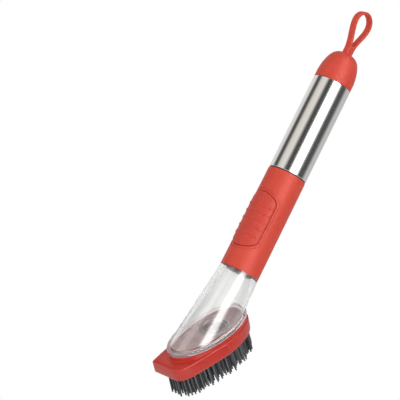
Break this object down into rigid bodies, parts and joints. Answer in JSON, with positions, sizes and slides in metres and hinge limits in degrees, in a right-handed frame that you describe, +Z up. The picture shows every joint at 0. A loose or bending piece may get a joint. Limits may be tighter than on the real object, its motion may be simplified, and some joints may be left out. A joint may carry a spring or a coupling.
{
  "type": "soap dispensing dish wand",
  "caption": "Soap dispensing dish wand: hanging loop cap, steel sleeve over a reservoir, red grip with a thumb button, clear tilted neck and a screw-on bristle head.",
  "frame": {"origin": "the point of the hanging loop that rests on a hook, the inner top of the loop on the handle's axis", "axes": "+Z runs up the handle's axis from the head to the loop, +X is the side of the thumb button and of the bristled nose's upper face, +Y completes the right-handed frame and runs along the loop's opening"},
  "size_m": [0.0628, 0.0394, 0.3001],
  "materials": {
    "red_plastic": "glossy moulded",
    "soft_red": "satin soft-touch",
    "steel": "mirror polished",
    "clear_plastic": "clear glossy",
    "pale_plastic": "natural moulded",
    "silicone": "translucent matte",
    "seal_rubber": "matte",
    "bristle": "drawn nylon"
  },
  "bodies": {
    "handle": {"steel_sleeve": "steel", "sleeve_ring": "seal_rubber", "reservoir": "pale_plastic", "reservoir_seal": "seal_rubber", "grip_housing": "red_plastic", "button_frame": "red_plastic", "pump_body": "pale_plastic", "dome_retainer": "pale_plastic", "pump_dome": "silicone", "inlet_valve": "silicone", "outlet_valve": "silicone", "neck_seal": "seal_rubber", "clear_neck": "clear_plastic", "nozzle_valve": "silicone"},
    "button": {"button_pad": "soft_red", "button_plunger": "pale_plastic"},
    "head_ring": {"head_seal": "seal_rubber"},
    "head": {"head_block": "red_plastic", "bristles_nose": "bristle", "bristles_middle": "bristle", "bristles_heel": "bristle"},
    "cap_ring": {"cap_washer": "seal_rubber"},
    "cap": {"cap_loop": "red_plastic", "cap_core": "pale_plastic"}
  },
  "joints": [
    {"name": "button_press", "type": "slide", "parent": "handle", "child": "button", "axis": [-1, 0, 0], "range_m": [0, 0.003], "stiffness_N_per_m": 1500, "deforming": ["pump_dome"]},
    {"name": "head_drop", "type": "slide", "parent": "handle", "child": "head_ring", "axis": [-0.7986, 0, -0.6018], "range_m": [0, 0.008]},
    {"name": "head_turn", "type": "hinge", "parent": "head_ring", "child": "head", "pos_m": [-0.00175, 0, -0.24708], "axis": [-0.7986, 0, -0.6018], "range_deg": [0, 362]},
    {"name": "cap_lift", "type": "slide", "parent": "handle", "child": "cap_ring", "axis": [0, 0, 1], "range_m": [0, 0.016]},
    {"name": "cap_turn", "type": "hinge", "parent": "cap_ring", "child": "cap", "pos_m": [0, 0, -0.0558], "axis": [0, 0, 1], "range_deg": [0, 724]}
  ],
  "couplings": [
    {"joint": "head_turn", "follows": "head_drop", "rad_per_m": 785.4},
    {"joint": "cap_turn", "follows": "cap_lift", "rad_per_m": 785.4}
  ]
}
